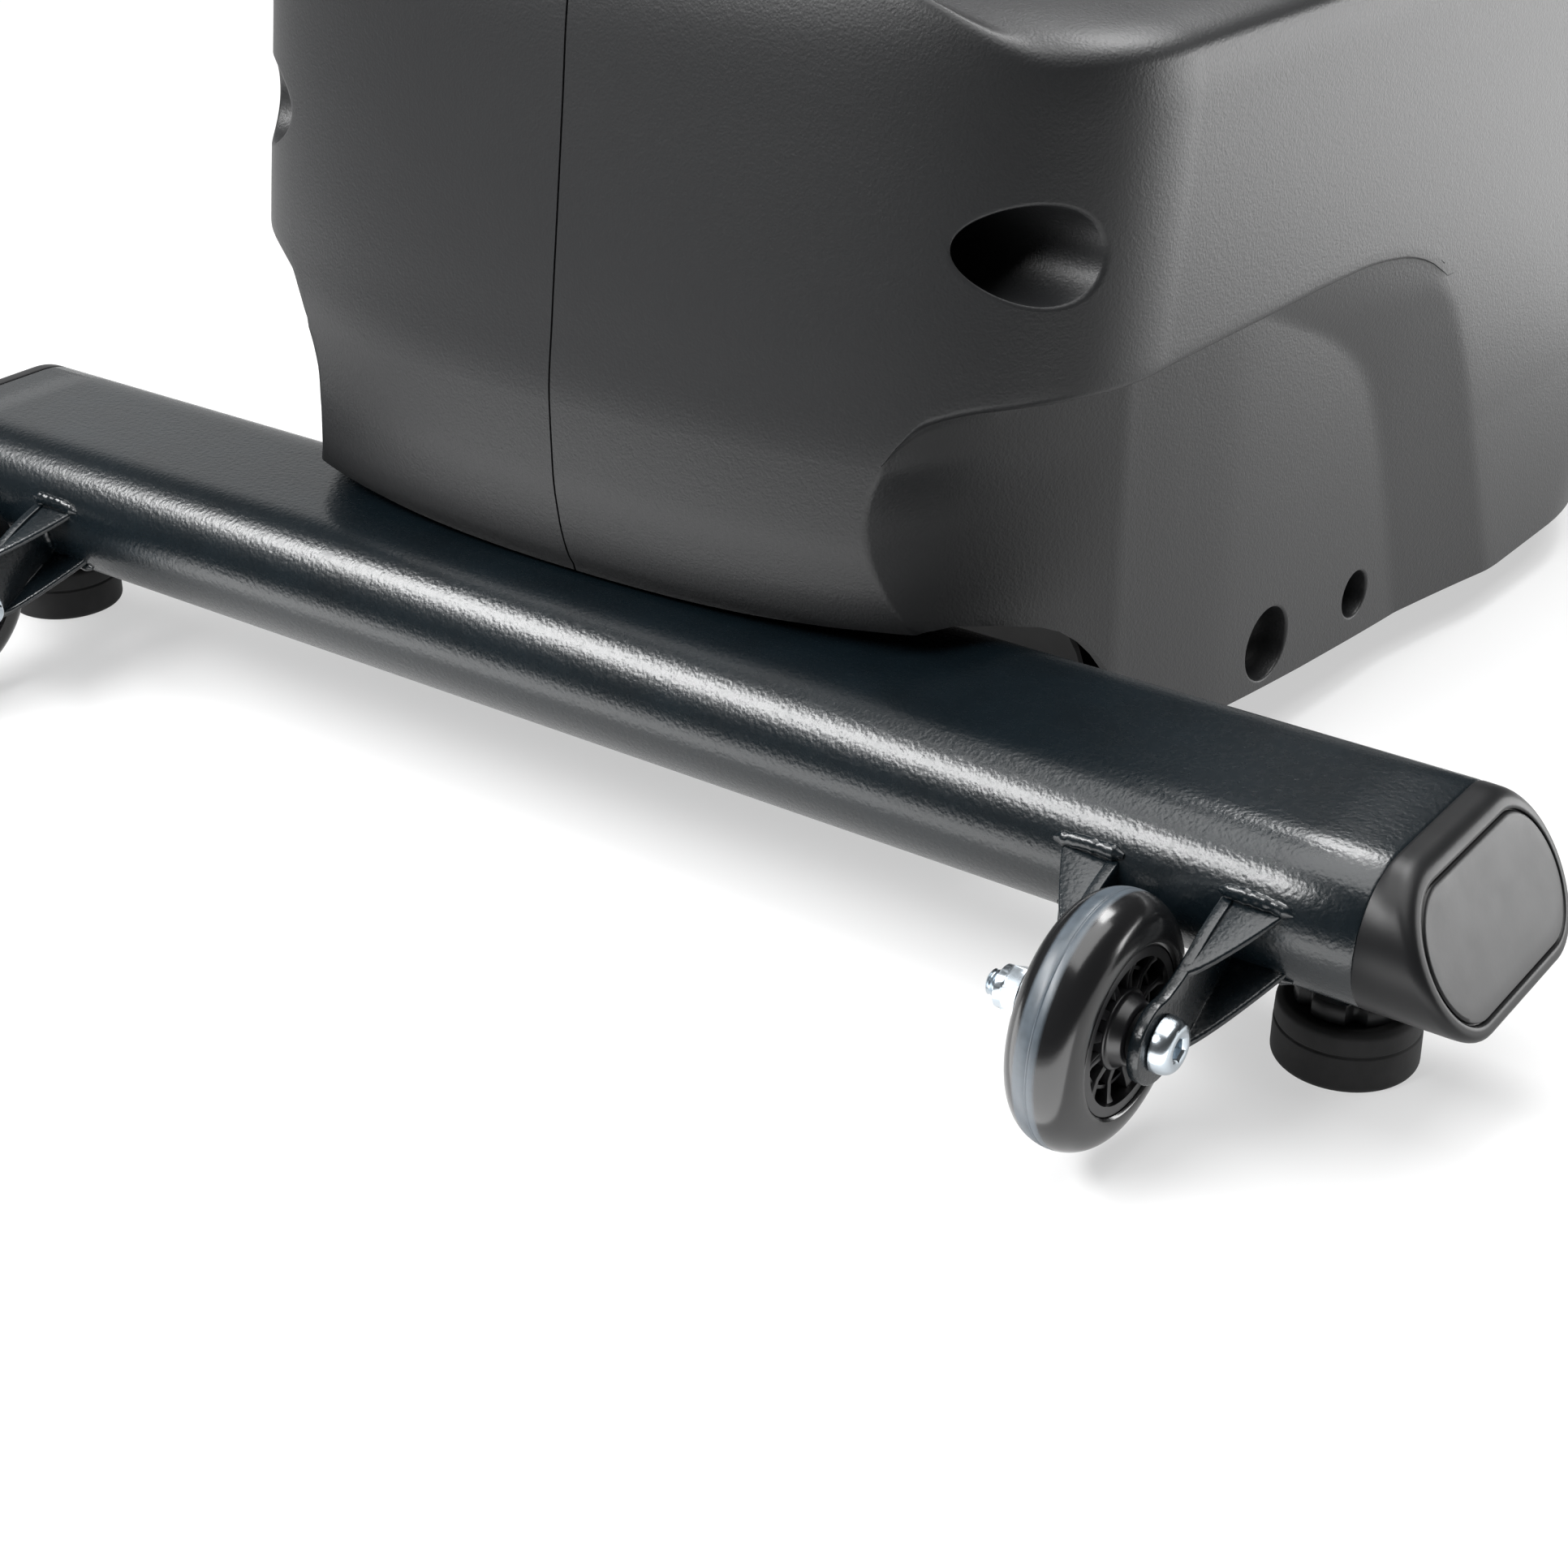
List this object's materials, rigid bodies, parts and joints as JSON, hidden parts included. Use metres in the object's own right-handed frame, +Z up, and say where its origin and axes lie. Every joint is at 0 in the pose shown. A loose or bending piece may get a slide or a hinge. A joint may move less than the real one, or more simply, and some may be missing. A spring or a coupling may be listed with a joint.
{
  "type": "recumbent exercise bike",
  "caption": "Recumbent exercise bike: low beam on two stabilizers, moulded drive casing, pedals, sliding padded seat, console on a mast, transport wheels.",
  "frame": {"origin": "on the floor, under the middle of the bounding box", "axes": "+X to the rider's left, +Y from the front stabilizer to the rear one, +Z up"},
  "size_m": [0.7062, 1.634, 1.2736],
  "materials": {
    "powder_coat": "dark blue-black powder coat with a fine sandy texture",
    "zinc_steel": "bright zinc-plated steel",
    "cast_iron": "turned cast iron",
    "alloy": "satin aluminium",
    "casing": "charcoal moulded plastic with a fine leather-like grain",
    "cap": "satin black moulded plastic",
    "hub": "black moulded plastic",
    "tyre": "glossy black polyurethane",
    "rubber": "matte black rubber",
    "foam": "dense black grip foam",
    "vinyl": "black upholstery vinyl",
    "glass": "glossy dark display window"
  },
  "bodies": {
    "frame": {"front_stabilizer": "powder_coat", "front_end_cap_left": "cap", "front_end_cap_right": "cap", "wheel_bracket_left_outer": "powder_coat", "wheel_bracket_left_inner": "powder_coat", "wheel_bracket_right_outer": "powder_coat", "wheel_bracket_right_inner": "powder_coat", "axle_bolt_left": "zinc_steel", "axle_bolt_right": "zinc_steel", "lock_nut_left": "zinc_steel", "lock_nut_right": "zinc_steel", "rear_stabilizer": "powder_coat", "rear_end_cap_left": "cap", "rear_end_cap_right": "cap", "main_beam": "powder_coat", "crank_support": "powder_coat", "crank_bearing_left": "zinc_steel", "crank_bearing_right": "zinc_steel", "drive_belt": "rubber", "flywheel_axle": "zinc_steel", "casing_left": "casing", "casing_right": "casing", "mast_boot": "casing", "console_mast": "powder_coat", "console_front": "casing", "console_back": "casing", "console_screen": "glass", "front_handlebar": "powder_coat", "front_grip_left": "foam", "front_grip_right": "foam", "seat_rail": "alloy", "rail_support": "powder_coat"},
    "wheel_left": {"wheel_tyre_left": "tyre", "wheel_hub_left": "hub"},
    "wheel_right": {"wheel_tyre_right": "tyre", "wheel_hub_right": "hub"},
    "foot_front_left": {"levelling_foot_front_left": "rubber"},
    "foot_front_right": {"levelling_foot_front_right": "rubber"},
    "foot_rear_left": {"levelling_foot_rear_left": "rubber"},
    "foot_rear_right": {"levelling_foot_rear_right": "rubber"},
    "crank": {"crank_spindle": "zinc_steel", "drive_pulley": "cast_iron", "crank_arm_left": "alloy", "crank_arm_right": "alloy"},
    "pedal_left": {"pedal_left": "hub", "pedal_strap_left": "rubber"},
    "pedal_right": {"pedal_right": "hub", "pedal_strap_right": "rubber"},
    "flywheel": {"flywheel": "cast_iron"},
    "brake": {"brake_arm": "alloy"},
    "seat": {"seat_carriage": "powder_coat", "seat_frame": "powder_coat", "seat_cushion": "vinyl", "back_cushion": "vinyl", "side_grip_left": "foam", "side_grip_right": "foam"},
    "seat_lever": {"seat_lever": "hub"},
    "button_up": {"console_button_up": "cap"},
    "button_start": {"console_button_start": "cap"},
    "button_down": {"console_button_down": "cap"}
  },
  "joints": [
    {"name": "wheel_left_spin", "type": "hinge", "parent": "frame", "child": "wheel_left", "pos_m": [0.2587, -0.777, 0.0469], "axis": [1, 0, 0], "continuous": true},
    {"name": "wheel_right_spin", "type": "hinge", "parent": "frame", "child": "wheel_right", "pos_m": [-0.2587, -0.777, 0.0469], "axis": [1, 0, 0], "continuous": true},
    {"name": "foot_front_left_screw", "type": "slide", "parent": "frame", "child": "foot_front_left", "axis": [0, 0, -1], "range_m": [0, 0.012]},
    {"name": "foot_front_right_screw", "type": "slide", "parent": "frame", "child": "foot_front_right", "axis": [0, 0, -1], "range_m": [0, 0.012]},
    {"name": "foot_rear_left_screw", "type": "slide", "parent": "frame", "child": "foot_rear_left", "axis": [0, 0, -1], "range_m": [0, 0.012]},
    {"name": "foot_rear_right_screw", "type": "slide", "parent": "frame", "child": "foot_rear_right", "axis": [0, 0, -1], "range_m": [0, 0.012]},
    {"name": "crank_spin", "type": "hinge", "parent": "frame", "child": "crank", "pos_m": [0, -0.358, 0.545], "axis": [1, 0, 0], "continuous": true},
    {"name": "pedal_left_spin", "type": "hinge", "parent": "crank", "child": "pedal_left", "pos_m": [0.15, -0.51775, 0.60314], "axis": [1, 0, 0], "continuous": true},
    {"name": "pedal_right_spin", "type": "hinge", "parent": "crank", "child": "pedal_right", "pos_m": [-0.15, -0.19825, 0.48686], "axis": [1, 0, 0], "continuous": true},
    {"name": "flywheel_spin", "type": "hinge", "parent": "frame", "child": "flywheel", "pos_m": [0, -0.458, 0.3], "axis": [1, 0, 0], "continuous": true},
    {"name": "brake_swing", "type": "hinge", "parent": "frame", "child": "brake", "pos_m": [-0.032, -0.57, 0.192], "axis": [1, 0, 0], "range_deg": [0, 8]},
    {"name": "seat_slide", "type": "slide", "parent": "frame", "child": "seat", "axis": [0, 0.9781, 0.2079], "range_m": [-0.15, 0.15]},
    {"name": "seat_lever_lift", "type": "hinge", "parent": "seat", "child": "seat_lever", "pos_m": [0.057, 0.382, 0.47015], "axis": [-1, 0, 0], "range_deg": [0, 15]},
    {"name": "button_up_press", "type": "slide", "parent": "frame", "child": "button_up", "axis": [0, -0.788, -0.6157], "range_m": [0, 0.002], "stiffness_N_per_m": 400},
    {"name": "button_start_press", "type": "slide", "parent": "frame", "child": "button_start", "axis": [0, -0.788, -0.6157], "range_m": [0, 0.002], "stiffness_N_per_m": 400},
    {"name": "button_down_press", "type": "slide", "parent": "frame", "child": "button_down", "axis": [0, -0.788, -0.6157], "range_m": [0, 0.002], "stiffness_N_per_m": 400}
  ],
  "couplings": [
    {"joint": "flywheel_spin", "follows": "crank_spin", "ratio": 6.5789}
  ]
}
